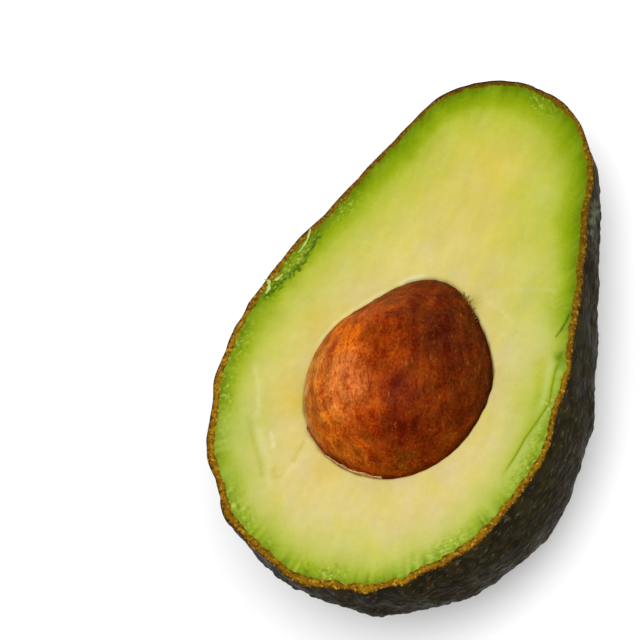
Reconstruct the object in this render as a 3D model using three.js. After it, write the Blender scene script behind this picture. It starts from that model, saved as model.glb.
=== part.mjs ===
// The pit-holding half of a ripe, dark-skinned avocado, lying on its back with the cut face up.
// Units are millimetres and +Z is up. The origin is the middle of the flat spot that it rests on.
// Every piece is shaped in the cut frame: Z is 0 on the cut face, +Y runs to the neck, +X to one side.
// The group then pitches that frame, neck down, into the attitude in which the fruit lies still.

import * as THREE from "three";

// Whole fruit, before the cut
const NECK_END = 61.3; // y of the neck's tip
const BLOSSOM_END = -44.2; // y of the fat end's tip
const CENTRE_X = -1.2; // x of the fruit's centreline at y 0
const LEAN = -0.05; // how the centreline leans sideways towards the neck, mm per mm
const SAG_DEPTH = -8.9; // height of the centreline where it lies deepest under the cut
const SAG_Y = -6; // where that is
const SAG_BOW = 0.0026; // how fast the centreline rises towards both ends, 1/mm
// Girth from the blossom end (-1) to the neck (1): radius divided by that of a unit ellipse, mm
const GIRTH = [
  [-1, 42.2],
  [-0.7, 40.4],
  [-0.35, 38.2],
  [0, 34.3],
  [0.3, 30.3],
  [0.6, 28.5],
  [0.85, 31.4],
  [1, 35],
];
const SWELL_HEIGHT = 0.25; // slow unevenness of the whole fruit

// Layers
const SKIN_THICKNESS = 1.5; // between the pebbles' middle height and the lining
const GAP = 0.35; // clearance between pieces that touch
const PEBBLE_HEIGHT = 1.5; // from crease to top, larger than life
const PEBBLE_SPACING = 6.8;
const PEBBLE_COUNT = 300; // what covers the underside at that spacing
const PEBBLE_JITTER = 0.35; // share of the spacing
const LOWEST_PEBBLE = 0.55; // share of the full height
const CREASE_SHARE = 0.75; // how far a pebble's flank reaches, as a share of the spacing
const SEED = 20260;

// Pit: an egg that lies in the cut face with its blunt point towards the neck
const PIT_CENTRE = new THREE.Vector3(1.15, -2.65, -4);
const PIT_HALF_LENGTH = 19.2;
const PIT_RADIUS = 18.1;
const PIT_TAPER = 0.07; // how much slimmer its neck end is
const PIT_TURN = 10; // its axis off the fruit's, towards +X, degrees
const TIP_TURN = -25; // its point off its own axis, degrees
const TIP_HEIGHT = 0.2; // how far the point stands out, as a share of the radius
const TIP_SHARPNESS = 8;

// Resting attitude
const PITCH = 14; // neck end down, degrees
const FLAT_DEPTH = 0.9; // how far the underside is pressed flat

// Length of the triangles' edges
const SKIN_EDGE = 1.95;
const LINING_EDGE = 4.2;
const PIT_EDGE = 2.6;

const TURN = 2 * Math.PI;
const radians = THREE.MathUtils.degToRad;

// The same sequence of draws on every run
function seededRandom(seed) {
  let state = seed;
  return () => {
    state = (state * 1664525 + 1013904223) % 4294967296;
    return state / 4294967296;
  };
}

// A smooth curve through a short list of [position, value] pairs
function curveThrough(pairs) {
  const slopeAt = (i) => {
    const before = pairs[Math.max(i - 1, 0)];
    const after = pairs[Math.min(i + 1, pairs.length - 1)];
    return (after[1] - before[1]) / (after[0] - before[0]);
  };
  return (at) => {
    const next = pairs.findIndex(([position]) => position > at);
    const i = next < 0 ? pairs.length - 2 : Math.max(next - 1, 0);
    const [x0, y0] = pairs[i];
    const [x1, y1] = pairs[i + 1];
    const width = x1 - x0;
    const t = THREE.MathUtils.clamp((at - x0) / width, 0, 1);
    const ease = t * t * (3 - 2 * t);
    const leave = slopeAt(i) * width * t * (1 - t) ** 2;
    const arrive = slopeAt(i + 1) * width * t * t * (t - 1);
    return y0 * (1 - ease) + y1 * ease + leave + arrive;
  };
}

// The fruit's form

const girthAt = curveThrough(GIRTH);
const HALF_LENGTH = (NECK_END - BLOSSOM_END) / 2;
const MIDDLE_Y = (NECK_END + BLOSSOM_END) / 2;

function fruitRadius(y) {
  const along = (y - MIDDLE_Y) / HALF_LENGTH;
  return Math.abs(along) < 1 ? girthAt(along) * Math.sqrt(1 - along * along) : 0;
}

// Above 0 outside the smooth fruit, below 0 inside
function outsideBy(p) {
  const across = p.x - CENTRE_X - LEAN * p.y;
  const height = p.z - SAG_DEPTH - SAG_BOW * (p.y - SAG_Y) ** 2;
  return Math.hypot(across, height) - fruitRadius(p.y);
}

const LONGEST_RAY = 90;
const HALVINGS = 42;

// Where a ray from an inside point leaves the smooth fruit
function surfaceAlong(from, direction) {
  const p = new THREE.Vector3();
  const unit = direction.clone().normalize();
  let near = 0;
  let far = LONGEST_RAY;
  for (let i = 0; i < HALVINGS; i++) {
    const middle = (near + far) / 2;
    p.copy(unit).multiplyScalar(middle).add(from);
    if (outsideBy(p) > 0) {
      far = middle;
    } else {
      near = middle;
    }
  }
  return p;
}

const NORMAL_STEP = 0.05;

function outwardNormal(p) {
  const slope = (axis) => {
    const step = new THREE.Vector3().setComponent(axis, NORMAL_STEP);
    return outsideBy(p.clone().add(step)) - outsideBy(p.clone().sub(step));
  };
  return new THREE.Vector3(slope(0), slope(1), slope(2)).normalize();
}

// Slow unevenness that every layer follows: two crossed waves, 15 to 35 mm long
function swell({ x, y, z }) {
  const broad = Math.sin(0.31 * x + 1.1) * Math.sin(0.27 * y + 0.22 * z);
  const long = Math.sin(0.17 * x - 0.41 * y + 0.6) * Math.sin(0.36 * z + 2);
  return SWELL_HEIGHT * (broad + 0.7 * long);
}

// Directions over the underside, spaced as on an ellipsoid: turn goes round it, and down runs from
// 0 in the cut to 1 straight below
const REACH = new THREE.Vector3(35, 52, 42);
const RIM_VIEWPOINT = new THREE.Vector3(0, 3, 0);
const VIEWPOINT = new THREE.Vector3(0, 3, -6);

function domePoint(turn, down) {
  const onCut = down === 0;
  const dip = (down * Math.PI) / 2;
  const aim = new THREE.Vector3(
    Math.cos(dip) * Math.cos(turn),
    Math.cos(dip) * Math.sin(turn),
    -Math.sin(dip),
  ).multiply(REACH);
  const from = onCut ? RIM_VIEWPOINT : VIEWPOINT;
  const at = surfaceAlong(from, aim.add(RIM_VIEWPOINT).sub(from));
  const normal = outwardNormal(at);
  if (onCut) {
    normal.setZ(0).normalize();
  }
  return { at, normal };
}

// Pebbles: seeds in a sunflower pattern over the underside, each nudged at random

const GOLDEN_ANGLE = Math.PI * (3 - Math.sqrt(5));
const PAST_RIM = 0.06; // the pattern runs on a little past the rim

function pebbleSeeds() {
  const random = seededRandom(SEED);
  return Array.from({ length: PEBBLE_COUNT }, (_, i) => {
    const sine = 1 - (1 + PAST_RIM) * (i / PEBBLE_COUNT);
    const flat = Math.sqrt(1 - sine * sine);
    const turn = i * GOLDEN_ANGLE;
    const aim = new THREE.Vector3(flat * Math.cos(turn), flat * Math.sin(turn), -sine);
    const at = surfaceAlong(VIEWPOINT, aim.multiply(REACH));
    const nudge = new THREE.Vector3(random() - 0.5, random() - 0.5, random() - 0.5);
    at.addScaledVector(nudge, 2 * PEBBLE_JITTER * PEBBLE_SPACING);
    return { at, height: THREE.MathUtils.lerp(LOWEST_PEBBLE, 1, random()) };
  });
}

const PEBBLES = pebbleSeeds();

// From -0.5 in the creases between pebbles to 0.5 on the highest tops
function pebbleRelief(p) {
  let nearest = PEBBLES[0];
  let nearestAway = Infinity;
  let secondAway = Infinity;
  for (const pebble of PEBBLES) {
    const away = pebble.at.distanceTo(p);
    if (away < nearestAway) {
      secondAway = nearestAway;
      nearestAway = away;
      nearest = pebble;
    } else if (away < secondAway) {
      secondAway = away;
    }
  }
  const margin = (secondAway - nearestAway) / PEBBLE_SPACING;
  return nearest.height * THREE.MathUtils.smoothstep(margin, 0, CREASE_SHARE) - 0.5;
}

// The flat spot

const pitch = radians(PITCH);
const UP = new THREE.Vector3(0, -Math.sin(pitch), Math.cos(pitch)); // world up in the cut frame

const SEARCH_STEPS = 90;

// Goes round the lower half of the underside in even steps and keeps the lowest point found
function lowestPoint() {
  let lowest = domePoint(0, 1).at;
  for (let i = 0; i < SEARCH_STEPS; i++) {
    for (let j = SEARCH_STEPS / 2; j <= SEARCH_STEPS; j++) {
      const { at } = domePoint((i / SEARCH_STEPS) * TURN, j / SEARCH_STEPS);
      if (at.dot(UP) < lowest.dot(UP)) {
        lowest = at;
      }
    }
  }
  return lowest;
}

const LOWEST = lowestPoint();
const FLOOR = LOWEST.dot(UP) + FLAT_DEPTH;

// A point of a layer. It is moved out along the surface's normal, and up where it would go under the
// floor or under a plane that lies the layer's depth above it.
function layerPoint({ at, normal }, depth, relief) {
  const moved = relief * pebbleRelief(at) + swell(at) - depth;
  const p = at.clone().addScaledVector(normal, moved);
  const under = FLOOR + depth - p.dot(UP);
  return p.addScaledVector(UP, Math.max(0, under));
}

// Surfaces as rings of points with strips of triangles between them

class Surface {
  points = [];
  triangles = [];

  addRing(points) {
    return points.map((p) => this.points.push(p) - 1);
  }

  // Joins two rings of any number of points. Both run the same way round from the same side.
  join(upper, lower, inward) {
    let i = upper.length > 1 ? 0 : 1;
    let j = lower.length > 1 ? 0 : 1;
    while (i < upper.length || j < lower.length) {
      const a = upper[i % upper.length];
      const b = lower[j % lower.length];
      const stepUpper = (i + 1) / upper.length <= (j + 1) / lower.length;
      const c = stepUpper ? upper[(i + 1) % upper.length] : lower[(j + 1) % lower.length];
      this.triangles.push(...(inward ? [a, c, b] : [a, b, c]));
      if (stepUpper) {
        i += 1;
      } else {
        j += 1;
      }
    }
  }

  joinAll(rings, inward = false) {
    rings.slice(1).forEach((ring, i) => this.join(rings[i], ring, inward));
  }

  geometry() {
    const made = new THREE.BufferGeometry().setFromPoints(this.points);
    made.setIndex(this.triangles);
    made.computeVertexNormals();
    return made;
  }
}

const MEASURING_POINTS = 24;
const FEWEST_POINTS = 5;

// Even turns round a ring, as many as its length needs
function turnsRound(pointAt, edge) {
  const turns = (count) => Array.from({ length: count }, (_, i) => (i / count) * TURN);
  const coarse = turns(MEASURING_POINTS).map(pointAt);
  const sides = coarse.map((p, i) => p.distanceTo(coarse[(i + 1) % MEASURING_POINTS]));
  const length = sides.reduce((sum, side) => sum + side, 0);
  return turns(Math.max(FEWEST_POINTS, Math.round(length / edge)));
}

const GIRDLE = 62; // from the rim to the lowest point over the surface

// The underside as rings of points with their normals, from the rim of the cut down to the last point.
// Layers made with the same edge get matching triangles, so they never meet.
function domeRings(edge) {
  const rows = Math.round(GIRDLE / edge);
  const rings = Array.from({ length: rows }, (_, i) => {
    const turns = turnsRound((turn) => domePoint(turn, i / rows).at, edge);
    return turns.map((turn) => domePoint(turn, i / rows));
  });
  return [...rings, [domePoint(0, 1)]];
}

function addLayer(surface, rings, depth, relief = 0) {
  return rings.map((ring) => surface.addRing(ring.map((spot) => layerPoint(spot, depth, relief))));
}

const liningRings = domeRings(LINING_EDGE);

function skinGeometry() {
  const skin = new Surface();
  const outside = addLayer(skin, domeRings(SKIN_EDGE), 0, PEBBLE_HEIGHT);
  const lining = addLayer(skin, liningRings, SKIN_THICKNESS);
  skin.joinAll(outside);
  skin.joinAll(lining, true);
  skin.join(outside[0], lining[0], true);
  return skin.geometry();
}

// A point of the pit, or of a shell grown round it
function pitPoint(turn, rise, grown) {
  const along = Math.cos(rise) * Math.sin(turn);
  const across = Math.cos(rise) * Math.cos(turn);
  const tip = radians(TIP_TURN);
  const towardsTip = Math.max(0, along * Math.cos(tip) + across * Math.sin(tip));
  const scale = 1 + TIP_HEIGHT * towardsTip ** TIP_SHARPNESS;
  const slim = (1 - PIT_TAPER * along) * scale;
  const p = new THREE.Vector3(
    across * (PIT_RADIUS + grown) * slim,
    along * (PIT_HALF_LENGTH + grown) * scale,
    Math.sin(rise) * (PIT_RADIUS + grown) * slim,
  );
  return p.applyAxisAngle(new THREE.Vector3(0, 0, 1), -radians(PIT_TURN)).add(PIT_CENTRE);
}

// The rise at which the pit crosses the cut
function riseAtCut(turn, grown) {
  let under = 0;
  let over = Math.PI / 3;
  for (let i = 0; i < HALVINGS; i++) {
    const middle = (under + over) / 2;
    if (pitPoint(turn, middle, grown).z > 0) {
      over = middle;
    } else {
      under = middle;
    }
  }
  return over;
}

// Rings over the pit from the cut to its top (end 1) or its bottom (end -1)
function pitRings(end, grown) {
  const pole = (end * Math.PI) / 2;
  const rows = Math.round((PIT_RADIUS * Math.abs(pole - riseAtCut(0, grown))) / PIT_EDGE);
  const rings = Array.from({ length: rows }, (_, i) => {
    const pointAt = (turn) => {
      const start = riseAtCut(turn, grown);
      return pitPoint(turn, start + ((pole - start) * i) / rows, grown);
    };
    return turnsRound(pointAt, PIT_EDGE).map(pointAt);
  });
  return [...rings, [pitPoint(0, pole, grown)]];
}

function fleshGeometry() {
  const flesh = new Surface();
  const outside = addLayer(flesh, liningRings, SKIN_THICKNESS + GAP);
  const cavity = pitRings(-1, GAP).map((ring) => flesh.addRing(ring));
  flesh.joinAll(outside);
  flesh.joinAll(cavity, true);
  flesh.join(outside[0], cavity[0], true);
  return flesh.geometry();
}

function pitGeometry() {
  const pit = new Surface();
  const buried = pitRings(-1, 0).map((ring) => pit.addRing(ring));
  const top = pitRings(1, 0).slice(1).map((ring) => pit.addRing(ring));
  pit.joinAll(buried);
  pit.joinAll([buried[0], ...top], true);
  return pit.geometry();
}

function piece(name, geometry, color, roughness) {
  const material = new THREE.MeshStandardMaterial({ color, roughness, metalness: 0 });
  const mesh = new THREE.Mesh(geometry, material);
  mesh.name = name;
  return mesh;
}

const avocadoHalf = new THREE.Group();
avocadoHalf.add(piece("skin", skinGeometry(), 0x37301f, 0.45));
avocadoHalf.add(piece("flesh", fleshGeometry(), 0xd5c878, 0.5));
avocadoHalf.add(piece("pit", pitGeometry(), 0x813a12, 0.55));

// Pitched about X, and set down with the flat spot's middle at the origin
const flatMiddle = LOWEST.clone().addScaledVector(UP, FLOOR - LOWEST.dot(UP));
avocadoHalf.rotation.x = -pitch;
avocadoHalf.position.copy(flatMiddle).applyEuler(avocadoHalf.rotation).negate();

export default avocadoHalf;
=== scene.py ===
"""The look of a halved avocado with its pit, lying cut face up on a white floor.

Shapes are worked out in millimetres in the cut frame: Z is 0 on the cut face, +Y runs to the neck and
+X to one side. place() pitches them into the part's own frame, in metres.
"""

import math

import bpy
import numpy as np
from mathutils import Matrix, Vector, kdtree


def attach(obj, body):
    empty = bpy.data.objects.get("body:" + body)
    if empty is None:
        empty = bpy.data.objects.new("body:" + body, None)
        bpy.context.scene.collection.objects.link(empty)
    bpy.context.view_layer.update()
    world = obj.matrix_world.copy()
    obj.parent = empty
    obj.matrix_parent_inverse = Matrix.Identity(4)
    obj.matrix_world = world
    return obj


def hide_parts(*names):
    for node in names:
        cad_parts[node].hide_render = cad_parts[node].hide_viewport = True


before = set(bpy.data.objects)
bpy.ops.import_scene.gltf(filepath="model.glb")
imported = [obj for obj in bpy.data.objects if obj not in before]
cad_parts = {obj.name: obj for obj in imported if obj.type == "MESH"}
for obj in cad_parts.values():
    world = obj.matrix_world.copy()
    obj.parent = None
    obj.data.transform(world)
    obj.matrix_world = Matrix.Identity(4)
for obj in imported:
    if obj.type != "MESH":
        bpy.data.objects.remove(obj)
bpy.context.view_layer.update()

TURN = 2 * math.pi
MM = 0.001

# The fruit's form, as in the solids
NECK_END = 61.3
BLOSSOM_END = -44.2
CENTRE_X = -1.2
LEAN = -0.05
SAG_DEPTH = -8.9
SAG_Y = -6
SAG_BOW = 0.0026
GIRTH = [(-1, 42.2), (-0.7, 40.4), (-0.35, 38.2), (0, 34.3), (0.3, 30.3), (0.6, 28.5), (0.85, 31.4), (1, 35)]
SWELL_HEIGHT = 0.25
PITCH = math.radians(14)
FLAT_DEPTH = 0.9
SKIN_THICKNESS = 1.5
FLESH_GAP = 0.35

# The rind's relief
LUMP_SPACING = 6.8
LUMP_COUNT = 300
LUMP_HEIGHT = 0.5
PEBBLE_SPACING = 2.1
PEBBLE_COUNT = 3500
PEBBLE_HEIGHT = 0.36
PEBBLE_LENGTHENING = 2.0  # pebbles are longer towards the neck than across

# The pit, as in the solids
PIT_CENTRE = np.array([1.15, -2.65, -4.0])
PIT_HALF_LENGTH = 19.2
PIT_RADIUS = 18.1
PIT_TAPER = 0.07
PIT_TURN = math.radians(10)
TIP_TURN = math.radians(-25)
TIP_HEIGHT = 0.2
TIP_SHARPNESS = 8
PULLED_IN = 0.028  # the real pit is a little less full at its lower right than the solid
PULLED_IN_TURN = math.radians(-62)

# The camera, in the cut frame
VIEW_TILT = math.radians(28)
VIEW_LEAN = math.radians(11.71)
VIEW_ROLL = math.radians(61.07)
VIEW_DISTANCE = 500
PIXELS_PER_MM = 5.401
FRAME_PIXELS = 640
TARGET_PIXEL = (400, 370)  # where the cut frame's origin lies in the photograph
SENSOR = 36


def smooth(value, low, high):
    """0 below low, 1 above high, with a soft step between."""
    t = np.clip((value - low) / (high - low), 0, 1)
    return t * t * (3 - 2 * t)


def curve_through(pairs, at):
    """A smooth curve through a short list of (position, value) pairs."""
    xs, ys = np.array(pairs, float).T
    index = np.arange(len(xs))
    before = np.maximum(index - 1, 0)
    after = np.minimum(index + 1, len(xs) - 1)
    slopes = (ys[after] - ys[before]) / (xs[after] - xs[before])
    i = np.clip(np.searchsorted(xs, at, side="right") - 1, 0, len(xs) - 2)
    width = xs[i + 1] - xs[i]
    t = np.clip((at - xs[i]) / width, 0, 1)
    ease = t * t * (3 - 2 * t)
    leave = slopes[i] * width * t * (1 - t) ** 2
    arrive = slopes[i + 1] * width * t * t * (t - 1)
    return ys[i] * (1 - ease) + ys[i + 1] * ease + leave + arrive


def unit(vectors):
    return vectors / np.linalg.norm(vectors, axis=-1, keepdims=True)


def ripples(points, wavelength, seed, waves=24):
    """Smooth random unevenness of about that wavelength, mostly between -1.5 and 1.5."""
    random = np.random.default_rng(seed)
    directions = unit(random.normal(size=(waves, 3)))
    lengths = wavelength * random.uniform(0.7, 1.4, waves)
    phases = random.uniform(0, TURN, waves)
    turns = points @ (directions * TURN / lengths[:, None]).T + phases
    return np.sin(turns).sum(-1) * math.sqrt(2 / waves)


def hump(value, width):
    """1 where the value is 0, falling softly to nearly 0 at twice the width."""
    return np.exp(-((value / width) ** 2))


def faded_ends(along, start, end):
    """1 from start to end, as shares of a line, falling softly to 0 at the line's own ends."""
    return smooth(along, 0, start) * (1 - smooth(along, end, 1))


def bearings(count):
    """Even steps all the way round."""
    return np.arange(count) / count * TURN


def padded(values, count, rest=0.0):
    """Values of the first points, with one value for the rest of them."""
    return np.append(values, np.full(count - len(values), rest))


def search_tree(points):
    """A tree that finds the nearest of the points."""
    tree = kdtree.KDTree(len(points))
    for i, point in enumerate(points):
        tree.insert(point, i)
    tree.balance()
    return tree


# The photograph's view


def view_axes():
    """The photograph's right, up and towards-the-camera directions in the cut frame."""
    upright = math.cos(VIEW_LEAN)
    towards = np.array([math.sin(VIEW_TILT) * upright, -math.sin(VIEW_LEAN), math.cos(VIEW_TILT) * upright])
    up = unit(np.array([0, 1.0, 0]) - towards * towards[1])
    right = np.cross(up, towards)
    roll = VIEW_ROLL - math.pi / 2
    turned_right = math.cos(roll) * right - math.sin(roll) * up
    turned_up = math.sin(roll) * right + math.cos(roll) * up
    return turned_right, turned_up, towards


VIEW_RIGHT, VIEW_UP, VIEW_TOWARDS = view_axes()


def camera_axes():
    """Where the camera stands in the cut frame, and its right, up and back directions."""
    middle = FRAME_PIXELS / 2
    aim = (middle - TARGET_PIXEL[0]) * VIEW_RIGHT + (TARGET_PIXEL[1] - middle) * VIEW_UP
    stand = VIEW_TOWARDS * VIEW_DISTANCE
    back = unit(stand - aim / PIXELS_PER_MM)
    right = unit(VIEW_RIGHT - back * (VIEW_RIGHT @ back))
    return stand, right, np.cross(back, right), back


CAMERA, CAMERA_RIGHT, CAMERA_UP, CAMERA_BACK = camera_axes()


def sight_lines(pixels):
    """Directions from the camera through pixels of the photograph."""
    offsets = np.array(pixels, float) - FRAME_PIXELS / 2
    focal = PIXELS_PER_MM * VIEW_DISTANCE
    return unit(offsets[:, :1] * CAMERA_RIGHT - offsets[:, 1:] * CAMERA_UP - focal * CAMERA_BACK)


def on_cut(pixels):
    """Points of the cut face that show at those pixels."""
    lines = sight_lines(pixels)
    return CAMERA - lines * (CAMERA[2] / lines[:, 2:])


def to_pixels(points):
    """The pixels of the photograph that points of the cut frame show at."""
    away = points - CAMERA
    depth = -away @ CAMERA_BACK
    focal = PIXELS_PER_MM * VIEW_DISTANCE
    across, up = away @ CAMERA_RIGHT, away @ CAMERA_UP
    return FRAME_PIXELS / 2 + focal * np.stack([across / depth, -up / depth], -1)


def line_distance(flat, corners):
    """Distance of flat points to a line of corners, the side they lie on and the share along it."""
    best = np.full(len(flat), 1e9)
    side = np.zeros(len(flat))
    along = np.zeros(len(flat))
    for i, (start, end) in enumerate(zip(corners, corners[1:])):
        run = end - start
        share = np.clip((flat - start) @ run / (run @ run), 0, 1)
        off = flat - start - share[:, None] * run
        away = np.hypot(*off.T)
        closer = away < best
        best = np.where(closer, away, best)
        side = np.where(closer, np.sign(run[0] * off[:, 1] - run[1] * off[:, 0]), side)
        along = np.where(closer, (i + share) / (len(corners) - 1), along)
    return best, side, along


# The smooth fruit

HALF_LENGTH = (NECK_END - BLOSSOM_END) / 2
MIDDLE_Y = (NECK_END + BLOSSOM_END) / 2


def outside_by(p):
    """Above 0 outside the smooth fruit, below 0 inside."""
    along = (p[..., 1] - MIDDLE_Y) / HALF_LENGTH
    bulge = np.sqrt(np.clip(1 - along**2, 0, None))
    radius = curve_through(GIRTH, np.clip(along, -1, 1)) * bulge
    across = p[..., 0] - CENTRE_X - LEAN * p[..., 1]
    height = p[..., 2] - SAG_DEPTH - SAG_BOW * (p[..., 1] - SAG_Y) ** 2
    return np.hypot(across, height) - radius


HALVINGS = 38  # of the stretch in which an edge is looked for
BEYOND = 90  # a distance that is outside the fruit from any point in it


def surface_along(origin, directions):
    """Where rays from an inside point leave the smooth fruit."""
    rays = unit(directions)
    near = np.zeros(rays.shape[:-1])
    far = near + BEYOND
    for _ in range(HALVINGS):
        middle = (near + far) / 2
        outside = outside_by(origin + rays * middle[..., None]) > 0
        far = np.where(outside, middle, far)
        near = np.where(outside, near, middle)
    return origin + rays * near[..., None]


def outward_normal(p):
    step = 0.05
    slopes = [outside_by(p + step * axis) - outside_by(p - step * axis) for axis in np.eye(3)]
    return unit(np.stack(slopes, -1))


def swell(p):
    """The slow unevenness of the solids."""
    x, y, z = p[..., 0], p[..., 1], p[..., 2]
    broad = np.sin(0.31 * x + 1.1) * np.sin(0.27 * y + 0.22 * z)
    long = np.sin(0.17 * x - 0.41 * y + 0.6) * np.sin(0.36 * z + 2)
    return SWELL_HEIGHT * (broad + 0.7 * long)


REACH = np.array([35, 52, 42.0])  # rough half sizes, for even bearings
RIM_VIEWPOINT = np.array([0, 3, 0.0])
VIEWPOINT = np.array([0, 3, -6.0])


def dome_points(turn, down):
    """Points and normals of the smooth underside. down is 0 in the cut and 1 straight below."""
    turn, down = np.broadcast_arrays(np.asarray(turn, float), np.asarray(down, float))
    dip = down * math.pi / 2
    aim = np.stack([np.cos(dip) * np.cos(turn), np.cos(dip) * np.sin(turn), -np.sin(dip)], -1) * REACH
    in_cut = (down == 0)[..., None]
    origin = np.where(in_cut, RIM_VIEWPOINT, VIEWPOINT)
    at = surface_along(origin, aim + RIM_VIEWPOINT - origin)
    normal = outward_normal(at)
    in_plane = normal * (1, 1, 0)
    return at, np.where(in_cut, unit(in_plane), normal)


UP = np.array([0, -math.sin(PITCH), math.cos(PITCH)])


def lowest_point(steps=90):
    """The lowest of the points that go round the lower half of the underside in even steps."""
    turn, down = np.meshgrid(bearings(steps), np.arange(steps // 2, steps + 1) / steps)
    at = dome_points(turn.ravel(), down.ravel())[0]
    return at[np.argmin(at @ UP)]


LOWEST = lowest_point()
FLOOR = LOWEST @ UP + FLAT_DEPTH
FLAT_MIDDLE = LOWEST + UP * FLAT_DEPTH
TO_PART = np.array(Matrix.Rotation(-PITCH, 3, "X"))


def press_up(points, depth):
    """Points under the floor, or under a plane the layer's depth above it, go up onto it."""
    under = FLOOR + depth - points @ UP
    return points + UP * np.maximum(0, under)[..., None]


def place(points):
    """From the cut frame in millimetres to the part's frame in metres."""
    return (np.asarray(points) - FLAT_MIDDLE) @ TO_PART.T * MM


# Colours and meshes

EXPOSURE = 1.2  # how much brighter than its own colour a fully lit surface shows


def linear(colours):
    """From the photograph's 0 to 255, as seen in full light, to a surface's own linear colour."""
    share = np.clip(np.array(colours, float), 0, 255) / 255
    return np.where(share <= 0.04045, share / 12.92, ((share + 0.055) / 1.055) ** 2.4) / EXPOSURE


def blend(a, b, share):
    """a where share is 0 and b where it is 1."""
    share = np.clip(share, 0, 1)[..., None]
    return a * (1 - share) + np.asarray(b, float) * share


def shades(stops, at):
    """Colours along a list of (position, colour) stops."""
    positions, colours = zip(*stops)
    return np.stack([np.interp(at, positions, channel) for channel in zip(*colours)], -1)


class Surface:
    """Rings of points with strips of triangles between them, and which material each triangle has."""

    def __init__(self):
        self.points = []
        self.triangles = []
        self.kinds = []
        self.count = 0

    def add_ring(self, points):
        self.points.append(points)
        self.count += len(points)
        return range(self.count - len(points), self.count)

    def add_rings(self, rings):
        return [self.add_ring(ring) for ring in rings]

    def join(self, upper, lower, inward=False, kind=0):
        """Joins two rings of any number of points, which run the same way round from the same side."""
        m, n = len(upper), len(lower)
        i = 0 if m > 1 else 1
        j = 0 if n > 1 else 1
        while i < m or j < n:
            a, b = upper[i % m], lower[j % n]
            step_upper = (i + 1) / m <= (j + 1) / n
            c = upper[(i + 1) % m] if step_upper else lower[(j + 1) % n]
            self.triangles.append((a, c, b) if inward else (a, b, c))
            self.kinds.append(kind)
            if step_upper:
                i += 1
            else:
                j += 1

    def join_all(self, rings, inward=False, kind=0):
        for upper, lower in zip(rings, rings[1:]):
            self.join(upper, lower, inward, kind)

    def all_points(self):
        return np.concatenate(self.points)


def add_object(name, data):
    made = bpy.data.objects.new(name, data)
    bpy.context.scene.collection.objects.link(made)
    return made


def make_piece(name, surface, values, materials, slot, replaces=True, sharp_angle=60):
    """A shown mesh. values are kept on its points for its material."""
    points = surface.all_points()
    mesh = bpy.data.meshes.new(name)
    mesh.from_pydata(place(points).tolist(), [], surface.triangles)
    for key, value in {"cut_mm": points, **values}.items():
        vector = np.ndim(value) == 2
        kept = mesh.attributes.new(key, "FLOAT_VECTOR" if vector else "FLOAT", "POINT")
        kept.data.foreach_set("vector" if vector else "value", np.asarray(value, np.float32).ravel())
    for material in materials:
        mesh.materials.append(material)
    mesh.polygons.foreach_set("material_index", surface.kinds)
    mesh.shade_smooth()
    mesh.set_sharp_from_angle(angle=math.radians(sharp_angle))
    mesh.update()
    piece = add_object(name, mesh)
    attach(piece, "root")
    if replaces:
        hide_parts(slot)
    return piece


def ring_counts(point_at, rows, edge):
    """How many points each ring needs for edges of that length."""
    turns = bearings(48)
    counts = []
    for row in rows:
        points = point_at(turns, row)
        sides = np.linalg.norm(points - np.roll(points, -1, 0), axis=-1)
        counts.append(max(6, round(sides.sum() / edge)))
    return counts


def split_rings(values, counts):
    return np.split(values, np.cumsum(counts)[:-1])


RIM_TO_BOTTOM = 62  # over the surface


def dome_rings(edge, first_count=None):
    """The underside's points and normals, ring by ring, from the rim of the cut to the last point."""
    rows = round(RIM_TO_BOTTOM / edge)
    downs = np.arange(rows) / rows
    counts = ring_counts(lambda turn, down: dome_points(turn, down)[0], downs, edge)
    if first_count:
        counts[0] = first_count
    counts.append(1)
    turns = np.concatenate([bearings(count) for count in counts])
    at, normal = dome_points(turns, np.repeat(np.append(downs, 1.0), counts))
    return at, normal, counts


# The rim of the cut

# Places along it in the photograph. For each: how many millimetres the green reaches in from there,
# how pale and minty it is, how wide the band of cut rind is and how dark
RIM_PLACES = [
    ((510, 88), 6.5, 0.0, 0.85, 0.85),
    ((583, 150), 6.4, 0.15, 1.15, 0.6),
    ((584, 230), 5.3, 0.15, 1.4, 0.7),
    ((575, 300), 5.0, 0.3, 1.3, 0.55),
    ((564, 370), 4.2, 0.45, 1.25, 0.35),
    ((545, 440), 4.1, 0.75, 1.3, 0.3),
    ((492, 517), 3.1, 0.9, 1.6, 0.3),
    ((420, 565), 3.0, 1.0, 1.7, 0.15),
    ((340, 580), 3.7, 0.45, 1.75, 0.25),
    ((262, 548), 3.5, 0.7, 1.85, 0.3),
    ((222, 480), 3.9, 0.85, 1.85, 0.2),
    ((216, 400), 4.1, 0.45, 1.8, 0.0),
    ((246, 322), 5.0, 0.25, 1.5, 0.05),
    ((312, 236), 5.2, 0.0, 1.35, 0.5),
    ((371, 170), 5.8, 0.0, 1.0, 0.6),
    ((430, 112), 5.7, 0.0, 0.85, 0.75),
]


def rim_turn(points):
    return np.arctan2((points[:, 1] - RIM_VIEWPOINT[1]) / REACH[1], points[:, 0] / REACH[0])


def around_rim(points, column):
    """A value of RIM_PLACES at the bearing of each point, with even steps between the places."""
    turns = rim_turn(on_cut([row[0] for row in RIM_PLACES]))
    values = np.array([row[column] for row in RIM_PLACES], float)
    order = np.argsort(turns)
    return np.interp(rim_turn(points), turns[order], values[order], period=TURN)


# The rind's relief


DRAW_FACTOR = 1664525
DRAW_STEP = 1013904223
DRAW_RANGE = 2**32


def seeded_draws(seed):
    """The same sequence of draws as in the solids."""
    state = seed
    while True:
        state = (state * DRAW_FACTOR + DRAW_STEP) % DRAW_RANGE
        yield state / DRAW_RANGE


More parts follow.
